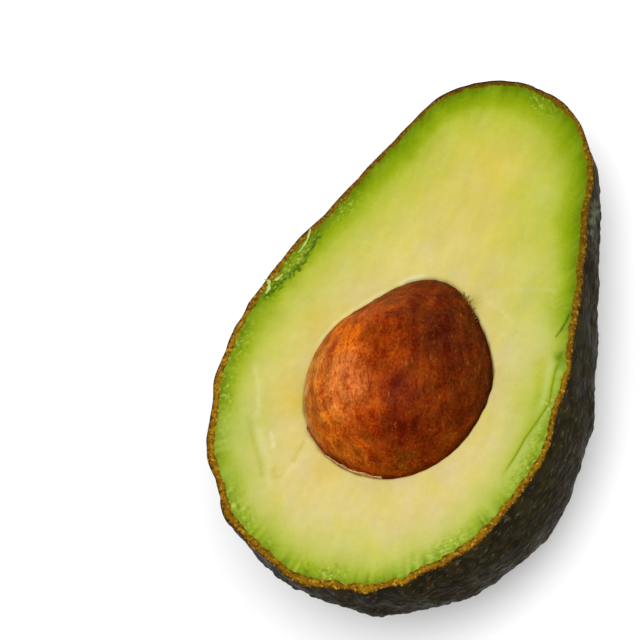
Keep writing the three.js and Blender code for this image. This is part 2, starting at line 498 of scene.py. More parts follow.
def relief_seeds(count, spacing, seed, jitter=0.35, lowest=0.55, past_rim=0.06):
    """Seeds in a sunflower pattern over the underside, each nudged at random, with their heights."""
    draws = seeded_draws(seed)
    draw = np.array([[next(draws) for _ in range(4)] for _ in range(count)])
    i = np.arange(count)
    sine = 1 - (1 + past_rim) * (i / count)
    flat = np.sqrt(1 - sine**2)
    turn = i * math.pi * (3 - math.sqrt(5))
    aim = np.stack([flat * np.cos(turn), flat * np.sin(turn), -sine], -1) * REACH
    at = surface_along(VIEWPOINT, aim) + (draw[:, :3] - 0.5) * 2 * jitter * spacing
    return at, lowest + (1 - lowest) * draw[:, 3]


def cells(points, seeds, spacing, stretch=(1, 1, 1)):
    """For each point, how far it lies inside its seed's cell as a share of the spacing, and the seed."""
    tree = search_tree(seeds / stretch)
    found = [tree.find_n(p, 2) for p in points / stretch]
    margin = np.array([(two[1][2] - two[0][2]) / spacing for two in found])
    return margin, np.array([two[0][1] for two in found])


LUMPS = relief_seeds(LUMP_COUNT, LUMP_SPACING, seed=20260)
PEBBLES = relief_seeds(PEBBLE_COUNT, PEBBLE_SPACING, seed=411, jitter=0.42, lowest=0.35)


def rind_relief(at):
    """Height of the rind over the smooth fruit, and how near a pebble's top each point is."""
    margin, index = cells(at, LUMPS[0], LUMP_SPACING)
    lumps = LUMPS[1][index] * smooth(margin, 0, 0.75) - 0.5
    stretch = np.array([1, PEBBLE_LENGTHENING, 1])
    margin, index = cells(at, PEBBLES[0], PEBBLE_SPACING / math.sqrt(PEBBLE_LENGTHENING), stretch)
    tops = smooth(margin, -0.05, 0.8)
    pebbles = PEBBLES[1][index] * tops - 0.4
    wavy_side = smooth(-0.6 * at[:, 0] - 0.8 * at[:, 1], -10, 20)
    broad = (LUMP_HEIGHT * lumps + 0.12 * ripples(at, 9, 3)) * (0.35 + 0.65 * wavy_side)
    near_rim = smooth(at[:, 2], -9, 0)
    return (broad + PEBBLE_HEIGHT * pebbles) * (1 - 0.5 * near_rim * (1 - wavy_side)), tops


def edge_depth(at):
    """How deep under the smooth surface the rind ends in the cut. It wanders along the rim."""
    width = around_rim(at, 3)
    return width + 0.12 * ripples(at, 3.4, 5) + 0.06 * ripples(at, 1.3, 6)


# Skin

SKIN_EDGE = 0.46
RIM_POINTS = 640
BAND_RINGS = 7
BAND_RISE = 0.05
BAND_ROLL = 0.12  # how far the cut rind rolls down at its outer edge
HIDDEN_EDGE = 4.0  # length of triangle edges on sides that don't show

# Worn marks: pixel of the photograph, reach in millimetres
SCARS = [((595, 212), 0.85), ((594, 222), 0.8), ((595, 203), 0.6), ((591, 233), 0.45)]


def scar_marks(points, normals):
    """Worn grey-green marks on the flank."""
    marks = np.zeros(len(points))
    facing = np.sum(normals * (CAMERA - points), axis=1) > 0
    mm = to_pixels(points) / PIXELS_PER_MM
    for pixel, reach in SCARS:
        away = np.linalg.norm(mm - np.array(pixel) / PIXELS_PER_MM, axis=1) + 0.3 * ripples(points, 1.5, 56)
        marks = np.maximum(marks, smooth(away, reach * 1.3, reach * 0.6))
    return marks * facing


def hidden_layer(depth):
    """Coarse rings of points at that depth under the rind, below the rim."""
    at, normal, counts = dome_rings(HIDDEN_EDGE)
    layer = press_up(at + normal * (swell(at) - depth)[:, None], depth)
    return split_rings(layer, counts)[1:]


def band_ring(share, outer_edge, inner_edge):
    """A ring of points of the cut rind, at that share of the way from its outer edge to the flesh."""
    ring = outer_edge * (1 - share) + inner_edge * share
    rough = 0.07 * ripples(ring, 1.3, 7) + 0.04 * ripples(ring, 0.6, 8)
    ring[:, 2] += BAND_RISE - BAND_ROLL * (1 - share) ** 3 + rough * math.sin(math.pi * min(share, 0.8))
    return ring


def build_skin(materials):
    skin = Surface()
    at, normal, counts = dome_rings(SKIN_EDGE, RIM_POINTS)
    height, tops = rind_relief(at)
    outer = press_up(at + normal * (height + swell(at))[:, None], 0)
    outside = skin.add_rings(split_rings(outer, counts))
    skin.join_all(outside)

    rim_at, rim_normal = at[:RIM_POINTS], normal[:RIM_POINTS]
    inner_edge = rim_at + rim_normal * (swell(rim_at) - edge_depth(rim_at))[:, None]
    shares = np.arange(BAND_RINGS + 1) / BAND_RINGS
    band = skin.add_rings(band_ring(share, outer[:RIM_POINTS], inner_edge) for share in shares[1:])
    skin.join_all([outside[0], *band], inward=True, kind=1)
    lining = skin.add_rings(hidden_layer(SKIN_THICKNESS))
    skin.join_all([band[-1], *lining], inward=True, kind=1)

    band_shares = padded(np.zeros(len(outer)), skin.count, 1.0)
    for share, ring in zip(shares[1:], band):
        band_shares[ring.start : ring.stop] = share
    values = {
        "band_share": band_shares,
        "band_dark": around_rim(skin.all_points(), 4),
        "pebble_top": padded(tops, skin.count),
        "scar": padded(scar_marks(outer, normal), skin.count),
    }
    return make_piece("skin_rind", skin, values, materials, "skin", sharp_angle=50)


# Pit


def pit_points(turn, rise, grown=0.0):
    """Points of the pit, or of a shell grown round it."""
    along = np.cos(rise) * np.sin(turn)
    across = np.cos(rise) * np.cos(turn)
    towards_tip = np.clip(along * math.cos(TIP_TURN) + across * math.sin(TIP_TURN), 0, None)
    scale = 1 + TIP_HEIGHT * towards_tip**TIP_SHARPNESS
    lower_right = np.clip(across * math.cos(PULLED_IN_TURN) + along * math.sin(PULLED_IN_TURN), 0, None)
    scale = scale * (1 - PULLED_IN * lower_right**2)
    slim = (1 - PIT_TAPER * along) * scale
    x = across * (PIT_RADIUS + grown) * slim
    y = along * (PIT_HALF_LENGTH + grown) * scale
    z = np.sin(rise) * (PIT_RADIUS + grown) * slim
    cosine, sine = math.cos(PIT_TURN), math.sin(PIT_TURN)
    return np.stack([x * cosine + y * sine, y * cosine - x * sine, z], -1) + PIT_CENTRE


PIT_EDGE = 0.5
PIT_INSET = 0.12  # so that its relief stays within the solid's size

# The seed coat's colours across the photograph, by pixel column, darker to the right partly as painted
# shade, and its patches: pixel, reach in pixels, colour, share. The pale patches at the left are partly
# painted highlight
COAT_TONE_AND_SHADE = [(300, (212, 118, 30)), (340, (202, 98, 24)), (365, (168, 68, 8)), (395, (132, 46, 3)),
               (435, (114, 40, 2)), (465, (100, 36, 2)), (492, (84, 34, 6))]
COAT_PATCHES = [
    ((346, 334), 13, (232, 112, 2), 0.9),
    ((442, 338), 28, (80, 26, 5), 0.85),
    ((350, 372), 22, (206, 108, 54), 0.75),
    ((344, 394), 17, (222, 122, 58), 0.75),
    ((362, 420), 12, (154, 50, 2), 0.7),
    ((404, 428), 20, (84, 18, 1), 0.85),
    ((416, 372), 14, (142, 56, 4), 0.6),
    ((394, 386), 12, (84, 18, 1), 0.85),
    ((376, 340), 13, (142, 50, 4), 0.6),
    ((352, 454), 18, (166, 82, 8), 0.6),
    ((328, 434), 11, (216, 108, 12), 0.7),
    ((392, 292), 16, (160, 76, 16), 0.6),
    ((400, 466), 16, (118, 62, 4), 0.7),
    ((452, 440), 20, (108, 48, 4), 0.5),
]
STREAK_TURN = -22  # degrees about the cut's normal, from the fruit's long axis to the coat's streaks

# The pale edge at the pit's left, partly the seed coat's pale rim and partly painted light on its limb, as
# pixels of the photograph
COAT_PALE_EDGE_AND_LIGHT = [(330, 318), (312, 350), (305, 385), (304, 412), (311, 436), (326, 458), (352, 474), (384, 480)]


def coat_colours(points):
    """The seed coat's colours: orange at the left and dark at the right, partly painted shade, with patches
    partly painted highlight and a pale edge partly painted light.
    """
    pixels = to_pixels(points)
    wander = 7 * ripples(points, 7, 61) + 4 * ripples(points * (1, 0.4, 1), 2.6, 62)
    # the colour across the pit is partly painted shade, darker to the right
    colours = shades(COAT_TONE_AND_SHADE, pixels[:, 0] + wander)
    for pixel, reach, colour, share in COAT_PATCHES:
        away = np.clip(np.linalg.norm(pixels - pixel, axis=1) + 0.45 * wander, 0, None)
        colours = blend(colours, colour, share * hump(away, reach))
    colours = colours * (1 + 0.06 * ripples(points, 3, 64))[:, None]
    edge = line_distance(pixels, np.array(COAT_PALE_EDGE_AND_LIGHT, float))[0] + 0.8 * ripples(points, 3, 65)
    facing = smooth(unit(points - PIT_CENTRE) @ VIEW_TOWARDS, -0.2, 0) * (points[:, 2] > 0)
    # partly painted light: the pale edge lifts the limb that faces the left
    return blend(colours, (236, 172, 98), 0.75 * smooth(edge, 4, 0.5) * facing)


def build_pit(materials):
    pit = Surface()
    rows = round(math.pi * PIT_RADIUS / PIT_EDGE)
    rises = math.pi / 2 - math.pi * np.arange(1, rows) / rows
    counts = [1, *ring_counts(pit_points, rises, PIT_EDGE), 1]
    all_rises = np.concatenate([[math.pi / 2], rises, [-math.pi / 2]])
    turns = np.concatenate([bearings(count) for count in counts])
    points = pit_points(turns, np.repeat(all_rises, counts))
    outward = unit(points - PIT_CENTRE)
    relief = 0.11 * ripples(points, 13, 21) + 0.035 * ripples(points * (1, 0.3, 1), 1.6, 22)
    relief += 0.02 * ripples(points, 0.9, 23)
    points = points + outward * (relief - PIT_INSET)[:, None]
    pit.join_all(pit.add_rings(split_rings(points, counts)))
    return make_piece("pit_seed", pit, {"tint": linear(coat_colours(points))}, materials, "pit")


# Flesh

FACE_ROWS = 88
FINER_AT_RIM = 1.35
CAVITY_GAP = 0.16
OPEN_GAP = (488, 378)  # where the flesh stands off the pit in the photograph
OPEN_GAP_WIDTH = 0.45
OPEN_GAP_REACH = 6
LIP_RADIUS = 0.5
OUTLINE_POINTS = 1440
FLESH_TUCK = 0.06  # the cut face reaches that far under the band of cut rind
FACE_RISE = 0.03
HIDDEN_FLESH = (205.0, 196.0, 112.0)
NECK_TINT = (0.99, 0.985, 0.86)  # the cream is a little yellower towards the neck


def cavity_outline(towards):
    """Points of the cavity's edge in the cut, in the directions of the given points from its middle."""
    turns = bearings(OUTLINE_POINTS)
    low, high = np.zeros(OUTLINE_POINTS), np.full(OUTLINE_POINTS, math.pi / 3)
    for _ in range(HALVINGS):
        middle = (low + high) / 2
        over = pit_points(turns, middle, CAVITY_GAP)[:, 2] > 0
        high = np.where(over, middle, high)
        low = np.where(over, low, middle)
    edge = pit_points(turns, high, CAVITY_GAP)
    bearing = np.arctan2(edge[:, 1] - PIT_CENTRE[1], edge[:, 0] - PIT_CENTRE[0])
    order = np.argsort(bearing)
    wanted = np.arctan2(towards[:, 1] - PIT_CENTRE[1], towards[:, 0] - PIT_CENTRE[0])
    found = [np.interp(wanted, bearing[order], edge[order, axis], period=TURN) for axis in range(2)]
    outline = np.stack([*found, np.zeros(len(towards))], -1)
    from_gap = np.linalg.norm(outline - on_cut([OPEN_GAP]), axis=1)
    wider = 0.04 * ripples(outline, 2.5, 36) + OPEN_GAP_WIDTH * hump(from_gap, OPEN_GAP_REACH)
    return outline + unit(outline - PIT_CENTRE * (1, 1, 0)) * wider[:, None]


def distance_to(points, outline):
    """Distance of each point to the nearest point of a fine outline."""
    tree = search_tree(outline)
    return np.array([tree.find(p)[2] for p in points])


# Colours from the rim inwards, as shares of how far the green reaches: deep green, and pale and minty
VIVID = [(0, (122, 112, 0)), (0.05, (100, 122, 0)), (0.15, (106, 135, 0)), (0.35, (128, 153, 0)),
         (0.6, (146, 167, 14)), (1, (180, 188, 60)), (1.5, (196, 196, 84)), (2.4, (210, 201, 106)),
         (3.4, (219, 203, 124))]
MINT = [(0, (128, 156, 30)), (0.15, (150, 172, 52)), (0.5, (166, 182, 66)), (0.8, (180, 190, 78)),
        (1.2, (195, 198, 98)), (1.8, (207, 202, 114)), (2.6, (217, 204, 126)), (3.6, (222, 204, 130))]

# Soft patches of the cut face: pixel of the photograph, reach in millimetres, colour, share
FACE_PATCHES = [
    ((496, 165), 5, (213, 192, 78), 0.6),
    ((478, 215), 5, (216, 197, 92), 0.4),
    ((243, 425), 6, (184, 196, 108), 0.5),
    ((291, 397), 5, (216, 191, 78), 0.6),
    ((316, 320), 3, (216, 190, 80), 0.5),
    ((322, 473), 3, (220, 191, 86), 0.5),
    ((532, 345), 6, (216, 208, 144), 0.6),
    ((532, 268), 5, (208, 203, 126), 0.45),
    ((345, 540), 6, (206, 204, 118), 0.35),
    ((420, 255), 9, (218, 206, 124), 0.5),
    ((469, 306), 2, (150, 130, 46), 0.55),
    ((541, 198), 4.5, (198, 202, 104), 0.4),
]

# Where torn flecks lie: pixel of the photograph, reach in millimetres
FLECK_PLACES = [((238, 345), 6), ((222, 392), 6), ((541, 106), 3.5), ((234, 512), 6), ((325, 575), 5),
                ((551, 405), 3), ((541, 438), 4), ((524, 470), 4), ((300, 262), 5), ((345, 210), 3.5),
                ((450, 550), 5)]

# Faint strokes: pixels of the photograph, width in millimetres, colour, share, rise in millimetres. The two
# pale lines along the pit's upper left edge are painted highlights
FACE_STROKES = [
    ([(254, 360), (258, 385), (259, 404), (255, 422)], 0.6, (216, 218, 146), 0.5, 0.05),
    ([(255, 422), (263, 444), (269, 462), (269, 492)], 0.7, (220, 216, 150), 0.45, 0.05),
    ([(270, 430), (273, 440), (273, 450)], 0.4, (230, 222, 168), 0.6, 0.05),
    ([(310, 437), (297, 458), (284, 480)], 0.45, (230, 216, 152), 0.6, 0.04),
    ([(246, 410), (252, 440), (259, 462), (263, 480)], 0.5, (170, 178, 70), 0.45, -0.06),
    ([(307, 440), (297, 452), (291, 464)], 0.6, (204, 182, 82), 0.5, -0.03),
    ([(272, 466), (277, 480)], 0.8, (194, 176, 84), 0.45, -0.03),
    ([(266, 372), (268, 400), (268, 425)], 0.5, (206, 198, 112), 0.5, -0.03),
    ([(543, 352), (540, 375), (539, 396)], 0.9, (186, 188, 54), 0.5, -0.02),
    ([(561, 350), (560, 360), (557, 372)], 0.9, (84, 118, 6), 0.7, -0.08),
    ([(571, 308), (567, 320), (561, 330), (554, 339)], 0.22, (70, 92, 6), 0.75, -0.08),
    # painted highlight along the flesh's lip at the pit's upper left
    ([(313, 351), (322, 337), (336, 322), (354, 309), (374, 297), (396, 286)], 0.3, (238, 224, 156), 0.6, 0),
    # painted highlight, brighter, at the top of the pit's edge
    ([(398, 285), (405, 281), (414, 277), (428, 275)], 0.45, (236, 234, 196), 0.55, 0),
    ([(488, 292), (525, 289), (562, 291)], 0.3, (204, 206, 132), 0.5, -0.03),
    ([(484, 300), (500, 310), (515, 325)], 0.35, (228, 216, 150), 0.4, 0.03),
]

# Deeper lines of the cut face, as pixels of the photograph
CREASE = [(560, 357), (555, 373), (552, 388), (549, 403), (543, 413), (534, 426), (525, 438), (516, 454),
          (507, 469), (500, 479)]
FURROW = [(262, 303), (270, 291), (282, 281), (294, 270), (305, 258), (313, 243), (325, 226)]


def line_mm(points, pixels):
    """Distance in millimetres to a line drawn over the cut, the side it lies on and the share along it."""
    return line_distance(points[:, :2], on_cut(pixels)[:, :2])


def around_pixel(points, pixel, reach):
    """1 where the cut face shows at that pixel, falling softly over that reach in millimetres."""
    away = np.linalg.norm(points[:, :2] - on_cut([pixel])[0, :2], axis=1)
    return hump(away, reach)


def face_colours(points, rim_points, rim_mm):
    """The cut face's colours, from the green at the rim to the cream at the pit."""
    streaks = ripples(rim_points, 1.5, 47) * smooth(rim_mm, 5, 0.5)
    wander = (0.22 * ripples(points, 12, 41) + 0.12 * ripples(points, 3, 42)) * smooth(rim_mm, 0.3, 4)
    inwards = rim_mm + wander + 0.1 * ripples(points, 1, 44) + 0.16 * streaks
    mint = around_rim(points, 2)
    patchy = smooth(ripples(rim_points, 9, 50), -0.8, 1.2)
    inwards = inwards + 0.5 * streaks * mint * patchy
    short = ripples(rim_points, 0.8, 49) * smooth(rim_mm, 3, 0.5) * (0.3 + mint) * patchy
    depth = np.clip(inwards, 0, None) / around_rim(points, 1)
    mint = np.clip(mint + 0.12 * ripples(points, 6, 45), 0, 1)
    colours = blend(shades(VIVID, depth), shades(MINT, depth), mint)
    neck = smooth(points[:, 1], 12, 34) * smooth(depth, 0.7, 2)
    colours = blend(colours, colours * NECK_TINT, neck)
    for pixel, reach, colour, share in FACE_PATCHES:
        colours = blend(colours, colour, share * around_pixel(points, pixel, reach))
    uneven = 0.007 * ripples(points, 9, 46) + 0.006 * ripples(rim_points, 3, 48) * smooth(rim_mm, 12, 3)
    inside = smooth(rim_mm, 3, 8)
    uneven = uneven + 0.005 * ripples(points, 2.2, 58) * inside
    yellower = (0.035 * ripples(points, 6, 57) + 0.015 * ripples(points, 2.6, 59)) * inside
    colours = colours * (1 - yellower[:, None] * (0, 0, 1))
    return colours * (1 + uneven + 0.045 * short)[:, None]


def fleck_zones(points, rim_mm):
    """Where torn bright flecks lie: along the minty rim, and more of them in a few places."""
    zones = 0.4 * smooth(around_rim(points, 2), 0.3, 0.8) * smooth(ripples(points, 5, 55), -0.8, 0.6)
    for pixel, reach in FLECK_PLACES:
        zones = np.maximum(zones, around_pixel(points, pixel, reach))
    return zones * smooth(rim_mm, 4.5, 1.5)


def fleck_marks(points, zones, colours, height):
    """Small torn flecks: painted highlights on their raised tops and painted shade beside them."""
    rough = ripples(points, 0.95, 53)
    # painted highlights on the raised flecks and painted shade beside them
    bright = smooth(rough, 0.7, 1.5) * zones
    dark = smooth(rough, -0.6, -1.5) * zones
    colours = blend(colours, (212, 220, 120), bright * 0.5)
    colours = blend(colours, (96, 130, 12), dark * 0.4)
    return colours, height + (0.1 * bright - 0.07 * dark)


def stroke_marks(points, colours, height):
    """Faint lines and marks on the cut face, among them painted highlights along the pit's edge."""
    for pixels, width, colour, share, rise in FACE_STROKES:
        mm, _, along = line_mm(points, pixels)
        core = hump(mm + 0.2 * width * ripples(points, 1.6, 54), width) * faded_ends(along, 0.15, 0.85)
        colours = blend(colours, colour, share * core)
        height = height + rise * core
    return colours, height


def face_relief(points, rim_mm, pit_mm):
    """Height of the cut face: slow waves of the knife, a soft edge at the rim and a lip at the pit."""
    waves = 0.10 * ripples(points, 17, 31) + 0.035 * ripples(points * (1, 0.45, 1), 4.5, 32)
    fine = 0.008 * ripples(points, 0.9, 33)
    torn = smooth(rim_mm, 3.0, 0.3) * 0.03 * ripples(points, 1.4, 34)
    calm = smooth(rim_mm, 0, 2.5)
    lip = LIP_RADIUS - np.sqrt(np.clip(LIP_RADIUS**2 - np.clip(LIP_RADIUS - pit_mm, 0, None) ** 2, 0, None))
    return waves * calm + fine + torn * smooth(rim_mm, 0, 0.6) + FACE_RISE - lip


def crease_marks(points, colours, height):
    """The knife's second stroke at the right: a thin olive step with a paler facet towards the rim, and
    painted shade on its inner side.
    """
    mm, side, along = line_mm(points, CREASE)
    ends = faded_ends(along, 0.08, 0.8)
    core = hump(mm, 0.26) * ends
    outer = side > 0
    facet = np.where(outer, smooth(mm, 2.6, 0.5), 0) * ends
    shoulder = np.where(outer, 0, hump(mm - 1.1, 0.8)) * ends * (1 - smooth(along, 0.3, 0.6))
    # painted shade beside the step, on its inner side
    shade = np.where(outer, 0, hump(mm, 1.3)) * ends
    colours = blend(colours, (178, 198, 104), facet * 0.5)
    colours = blend(colours, (166, 180, 48), shade * 0.5)
    colours = blend(colours, (206, 214, 132), shoulder * 0.6)
    colours = blend(colours, (132, 150, 4), core * 0.9)
    return colours, height - 0.08 * core + 0.1 * facet


def furrow_marks(points, colours, height):
    """The torn furrow inside the rim at the upper left; its dark green line is partly painted shade in the
    crevice.
    """
    mm, _, along = line_mm(points, FURROW)
    ends = faded_ends(along, 0.12, 0.85)
    ragged = mm + 0.3 * ripples(points, 1.3, 51)
    core = hump(np.clip(ragged, 0, None), 0.6) * ends
    # dark green line, partly painted shade in the crevice
    colours = blend(colours, (68, 98, 0), core * 0.85)
    flecks = smooth(ripples(points, 0.8, 52), 1.0, 1.5) * hump(mm, 1.4) * ends
    colours = blend(colours, (186, 206, 70), flecks * 0.8)
    return colours, height - 0.35 * core + 0.15 * flecks


def cut_face(rim, cavity):
    """The cut face's points from its rim to the cavity, with their colours and how torn they are."""
    shares = (np.arange(FACE_ROWS + 1) / FACE_ROWS) ** FINER_AT_RIM
    points = (rim + (cavity - rim) * shares[:, None, None]).reshape(-1, 3)
    rim_mm = distance_to(points, rim)
    height = face_relief(points, rim_mm, distance_to(points, cavity))
    colours = face_colours(points, np.tile(rim, (FACE_ROWS + 1, 1)), rim_mm)
    torn = fleck_zones(points, rim_mm)
    colours, height = fleck_marks(points, torn, colours, height)
    for marks in (stroke_marks, crease_marks, furrow_marks):
        colours, height = marks(points, colours, height)
    points[:, 2] += height
    return points, colours, torn


def cavity_rings():
    """Rings of points of the hollow that the pit lies in, from just below its edge to its bottom."""
    rings = []
    for rise in np.linspace(-0.03, -math.pi / 2, 18)[:-1]:
        count = max(8, round(RIM_POINTS / 4 * math.cos(rise)))
        rings.append(pit_points(bearings(count), np.full(count, rise), CAVITY_GAP))
    return [*rings, pit_points(np.zeros(1), np.full(1, -math.pi / 2), CAVITY_GAP)]


def build_flesh(materials):
    flesh = Surface()
    rim_at, rim_normal = dome_points(bearings(RIM_POINTS), np.zeros(RIM_POINTS))
    rim = rim_at + rim_normal * (swell(rim_at) - edge_depth(rim_at) + FLESH_TUCK)[:, None]
    points, colours, torn = cut_face(rim, cavity_outline(rim))
    face = flesh.add_rings(np.split(points, FACE_ROWS + 1))
    flesh.join_all(face, inward=True)
    wall = flesh.add_rings(cavity_rings())
    flesh.join_all([face[-1], *wall], inward=True)
    below = flesh.add_rings(hidden_layer(SKIN_THICKNESS + FLESH_GAP))
    flesh.join_all([face[0], *below])
    hidden = np.tile(HIDDEN_FLESH, (flesh.count - len(points), 1))
    values = {"tint": linear(np.concatenate([colours, hidden])), "torn": padded(torn, flesh.count)}
    return make_piece("flesh_half", flesh, values, materials, "flesh", sharp_angle=70)


# Small parts


def tube(surface, path, radii, flatness=1.0, sides=8):
    """A tapered tube along a path. Its section is flattened towards the cut face."""
    path = np.array(path, float)
    steps = unit(np.gradient(path, axis=0))
    rings = [surface.add_ring(path[:1])]
    for centre, step, radius in zip(path, steps, radii):
        across = unit(np.cross([0, 0, 1.0], step))
        up = np.cross(step, across)
        angles = -bearings(sides)
        ring = centre + radius * (np.cos(angles)[:, None] * across + flatness * np.sin(angles)[:, None] * up)
        rings.append(surface.add_ring(ring))
    rings.append(surface.add_ring(path[-1:]))
    surface.join_all(rings)


def bent_path(pixels, heights, count=14):
    """A smooth path over the cut through pixels of the photograph, at heights above it."""
    corners = on_cut(pixels)
    corners[:, 2] = heights
    at = np.linspace(0, len(corners) - 1, count)
    return np.stack([curve_through(list(enumerate(corners[:, axis])), at) for axis in range(3)], -1)


# Pale torn strips of flesh on the rim at the upper left: pixels of the photograph and heights over the cut
CURLS = [
    ([(266, 294), (270, 289), (270, 283), (265, 280)], (0.1, 0.6, 0.8, 0.3), 0.36),
    ([(298, 253), (303, 249), (308, 241), (310, 234), (311, 229)], (0.1, 0.45, 0.5, 0.4, 0.2), 0.24),
    ([(273, 281), (279, 279), (283, 274)], (0.1, 0.35, 0.1), 0.28),
]


def build_curls(materials):
    curls = Surface()
    for pixels, heights, radius in CURLS:
        path = bent_path(pixels, heights)
        ragged = 1 + 0.25 * ripples(path, 1.2, 75)
        taper = np.sin(np.linspace(0.15, math.pi - 0.15, len(path))) ** 0.6 * ragged
        tube(curls, path, radius * taper, flatness=0.6)
    return make_piece("flesh_curls", curls, {}, materials, "flesh", replaces=False)


# Where fibres stand beside the pit's tip, as pixels of the photograph
FIBRE_PLACES = [(463, 297), (466, 301), (468, 305), (470, 309), (472, 313), (474, 318), (475, 323)]
FIBRES_EACH = 4
FIBRE_LENGTH = (0.9, 2.1)
FIBRE_RADII = (0.11, 0.04)


def build_fibres(materials):
    """Short dark fibres between the pit's tip and the flesh."""
    random = np.random.default_rng(71)
    fibres = Surface()
    roots = on_cut(FIBRE_PLACES)
    for root in np.repeat(roots, FIBRES_EACH, axis=0):
        outward = unit((root - PIT_CENTRE) * (1, 1, 0))
        aside = np.array([-outward[1], outward[0], 0])
        start = root - outward * 0.6 + aside * random.uniform(-0.5, 0.5)
        end = start + outward * random.uniform(*FIBRE_LENGTH) + aside * random.uniform(-0.9, 0.9)
        start[2], end[2] = random.uniform(-0.3, 0.3), random.uniform(0.15, 0.5)
        path = start + (end - start) * np.linspace(0, 1, 5)[:, None]
        tube(fibres, path, np.linspace(*FIBRE_RADII, 5), sides=5)
    return make_piece("pit_fibres", fibres, {}, materials, "pit", replaces=False)


# The seed coat's torn edge: from and to which bearing round the pit, and how far up it its foot lies
COAT_FROM = math.radians(236)
COAT_TO = math.radians(300)
COAT_FOOT = 0.23  # radians from the pit's middle plane
COAT_OFF = 0.12  # how far it stands off the pit
COAT_HEIGHT = 0.95
COAT_DEPTH = 0.7  # how far it goes down from its foot


def build_seed_coat(materials):
    """The seed coat's torn edge, a thin pale blade that stands round the pit's foot."""
    coat = Surface()
    turns = np.linspace(COAT_FROM, COAT_TO, 150)
    share = np.linspace(0, 1, len(turns))
    taper = faded_ends(share, 0.12, 0.88)
    foot = pit_points(turns, np.full(len(turns), COAT_FOOT), COAT_OFF)
    ragged = COAT_HEIGHT + 0.3 * ripples(foot, 2.2, 72) + 0.16 * ripples(foot, 0.8, 73)
    tops = foot + np.array([0, 0, 1]) * (np.clip(ragged, 0.15, None) * taper)[:, None]
    outward = unit((foot - PIT_CENTRE) * (1, 1, 0))
    lean = 0.12 + 0.18 * smooth(ripples(foot, 4, 74), 0, 1.2)
    tops = tops + outward * (lean * taper)[:, None]
    low = foot - (0, 0, COAT_DEPTH)
    rings = [coat.add_ring(low[:1])]
    for bottom, top, out in zip(low, tops, outward):
        blade = [bottom, bottom + out * 0.16, top + out * 0.07, top - out * 0.05]
        rings.append(coat.add_ring(np.array(blade)))
    rings.append(coat.add_ring(low[-1:]))
    coat.join_all(rings, inward=True)
    return make_piece("pit_coat_edge", coat, {}, materials, "pit", replaces=False)


# Materials


class Shader:
    """A material and its nodes. Most calls add a node and return its output."""

    def __init__(self, name, **settings):
        self.material = bpy.data.materials.new(name)
        self.material.use_nodes = True
        self.tree = self.material.node_tree
        self.surface = self.tree.nodes["Principled BSDF"]
        for key, value in settings.items():
            self.surface.inputs[key.replace("_", " ")].default_value = value

    def node(self, kind, **settings):
        made = self.tree.nodes.new(kind)
        for key, value in settings.items():
            setattr(made, key, value)
        return made

    def feed(self, socket, value):
        if isinstance(value, bpy.types.NodeSocket):
            self.tree.links.new(value, socket)
        else:
            socket.default_value = value

    def set(self, name, value):
        self.feed(self.surface.inputs[name], value)

    def add(self, kind, inputs, output=0, **settings):
        made = self.node(kind, **settings)
        for socket, value in inputs.items():
            self.feed(made.inputs[socket], value)
        return made.outputs[output]

    def kept(self, name, output="Fac"):
        return self.add("ShaderNodeAttribute", {}, output, attribute_name=name)

    def place(self):
        return self.kept("cut_mm", "Vector")

    def stretched(self, vector, scale):
        return self.add("ShaderNodeVectorMath", {0: vector, 1: scale}, operation="MULTIPLY")

    def noise(self, vector, size, detail=2.0, roughness=0.5, distortion=0.0):
        """Noise with features of that size in millimetres, from 0 to 1."""
        inputs = {"Scale": 1 / size, "Detail": detail, "Roughness": roughness, "Distortion": distortion}
        return self.add("ShaderNodeTexNoise", {"Vector": vector, **inputs}, "Fac")

    def math(self, operation, a, b=0.0, clamp=False):
        return self.add("ShaderNodeMath", {0: a, 1: b}, operation=operation, use_clamp=clamp)

    def step(self, value, low, high, start=0.0, end=1.0):
        """Goes softly from start to end as the value goes from low to high."""
        inputs = dict(enumerate((value, low, high, start, end)))
        return self.add("ShaderNodeMapRange", inputs, interpolation_type="SMOOTHSTEP")

    def ramp(self, value, stops):
        """A colour that changes with the value, from (position, colour) stops within 0 to 1."""
        made = self.node("ShaderNodeValToRGB")
        made.color_ramp.interpolation = "EASE"
        elements = made.color_ramp.elements
        for (position, colour), element in zip(stops, elements):
            element.position = position
            element.color = (*linear(colour), 1)
        for position, colour in stops[2:]:
            elements.new(position).color = (*linear(colour), 1)
        self.feed(made.inputs[0], value)
        return made.outputs[0]

    def spots(self, vector, size, low, high, share=1.0, detail=3.0, roughness=0.5):
        """The share where noise of that size is above high, and 0 where it is below low."""
        return self.step(self.noise(vector, size, detail, roughness), low, high, 0.0, share)

    def mix(self, share, a, b):
        """a where share is 0 and b where it is 1. Both are outputs or the photograph's colours."""
        a, b = (c if isinstance(c, bpy.types.NodeSocket) else (*linear(c), 1) for c in (a, b))
        return self.add("ShaderNodeMix", {0: share, 6: a, 7: b}, 2, data_type="RGBA")

    def shifted(self, colour, amount, channels):
        """The colour, with each channel raised by its own share of the amount."""
        inputs = {0: self.stretched(amount, channels), 1: colour, 2: colour}
        return self.add("ShaderNodeVectorMath", inputs, operation="MULTIPLY_ADD")

    def turned(self, vector, degrees):
        """The vector, turned about the Z axis."""
        inputs = {"Vector": vector, "Angle": math.radians(degrees)}
        return self.add("ShaderNodeVectorRotate", inputs, rotation_type="Z_AXIS")

    def bump(self, height, distance, strength):
        """distance is the height in millimetres of a full step of the pattern."""
        inputs = {"Height": height, "Distance": distance * MM, "Strength": strength}
        self.set("Normal", self.add("ShaderNodeBump", inputs))


RIND_SHADES = [(0.3, (34, 27, 12)), (0.5, (44, 36, 16)), (0.72, (46, 44, 20))]

# Colours of the cut rind, from its outer edge inwards
BAND_SHADES = [(0.04, (26, 18, 6)), (0.15, (92, 58, 5)), (0.32, (158, 110, 8)), (0.72, (170, 124, 10)),
               (0.95, (156, 140, 8))]
VEIN_TINT = (1.9, 3.8, 5.5)  # how much the pit's veins change red, green and blue


